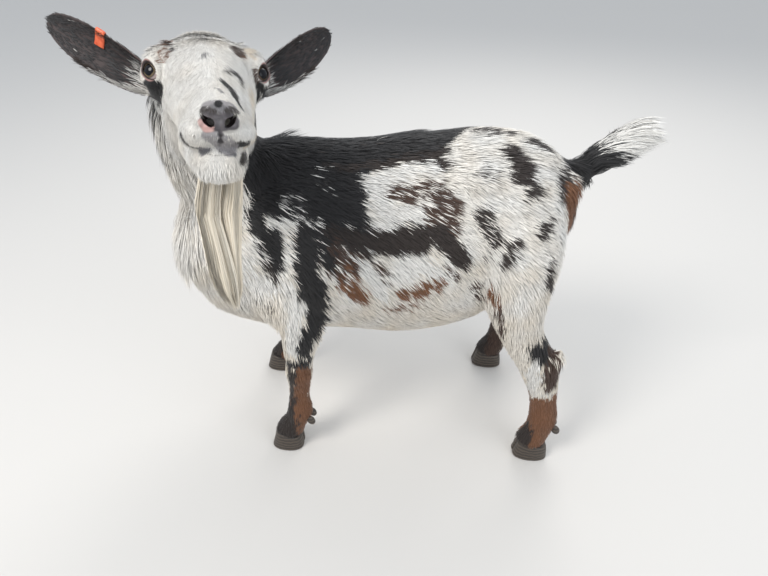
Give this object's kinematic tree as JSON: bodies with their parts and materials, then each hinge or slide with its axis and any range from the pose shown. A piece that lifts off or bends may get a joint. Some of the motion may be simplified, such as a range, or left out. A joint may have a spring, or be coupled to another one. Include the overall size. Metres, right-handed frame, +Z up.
{
  "type": "nigerian dwarf goat, life-size still model",
  "caption": "Standing dwarf goat with neck raised and head turned, erect cupped ears, a long beard, an upturned tail, cloven hooves and a folded ear tag.",
  "frame": {"origin": "bottom centre of the bounding box, on the floor between the feet", "axes": "-X the way the goat's body faces, -Y its left side, +Z up; the body lies along X"},
  "size_m": [0.7376, 0.4228, 0.6914],
  "materials": {
    "beard": "long straight ivory hair",
    "ear_left": "short dark hair",
    "ear_right": "short dark hair",
    "ear_tag": "satin orange, unmarked",
    "eye_left": "wet amber eye with a level pupil",
    "eye_right": "wet amber eye with a level pupil",
    "fore_left_claw_inner": "dark horn, slightly glossy",
    "fore_left_claw_outer": "dark horn, slightly glossy",
    "fore_left_dewclaw_inner": "dark horn, slightly glossy",
    "fore_left_dewclaw_outer": "dark horn, slightly glossy",
    "fore_leg_left": "short rust, black and white hair",
    "fore_leg_right": "short rust, black and white hair",
    "fore_right_claw_inner": "dark horn, slightly glossy",
    "fore_right_claw_outer": "dark horn, slightly glossy",
    "fore_right_dewclaw_inner": "dark horn, slightly glossy",
    "fore_right_dewclaw_outer": "dark horn, slightly glossy",
    "head": "hair, white with black and brown patches",
    "hind_left_claw_inner": "dark horn, slightly glossy",
    "hind_left_claw_outer": "dark horn, slightly glossy",
    "hind_left_dewclaw_inner": "dark horn, slightly glossy",
    "hind_left_dewclaw_outer": "dark horn, slightly glossy",
    "hind_leg_left": "short rust, black and white hair",
    "hind_leg_right": "short rust, black and white hair",
    "hind_right_claw_inner": "dark horn, slightly glossy",
    "hind_right_claw_outer": "dark horn, slightly glossy",
    "hind_right_dewclaw_inner": "dark horn, slightly glossy",
    "hind_right_dewclaw_outer": "dark horn, slightly glossy",
    "neck": "hair, white with black and brown patches",
    "tail": "long hair, black at the dock and white at the tips",
    "torso": "hair, white with black and brown patches"
  },
  "bodies": {
    "root": {"beard": "beard", "ear_left": "ear_left", "ear_right": "ear_right", "ear_tag": "ear_tag", "eye_left": "eye_left", "eye_right": "eye_right", "fore_left_claw_inner": "fore_left_claw_inner", "fore_left_claw_outer": "fore_left_claw_outer", "fore_left_dewclaw_inner": "fore_left_dewclaw_inner", "fore_left_dewclaw_outer": "fore_left_dewclaw_outer", "fore_leg_left": "fore_leg_left", "fore_leg_right": "fore_leg_right", "fore_right_claw_inner": "fore_right_claw_inner", "fore_right_claw_outer": "fore_right_claw_outer", "fore_right_dewclaw_inner": "fore_right_dewclaw_inner", "fore_right_dewclaw_outer": "fore_right_dewclaw_outer", "head": "head", "hind_left_claw_inner": "hind_left_claw_inner", "hind_left_claw_outer": "hind_left_claw_outer", "hind_left_dewclaw_inner": "hind_left_dewclaw_inner", "hind_left_dewclaw_outer": "hind_left_dewclaw_outer", "hind_leg_left": "hind_leg_left", "hind_leg_right": "hind_leg_right", "hind_right_claw_inner": "hind_right_claw_inner", "hind_right_claw_outer": "hind_right_claw_outer", "hind_right_dewclaw_inner": "hind_right_dewclaw_inner", "hind_right_dewclaw_outer": "hind_right_dewclaw_outer", "neck": "neck", "tail": "tail", "torso": "torso"}
  },
  "joints": []
}
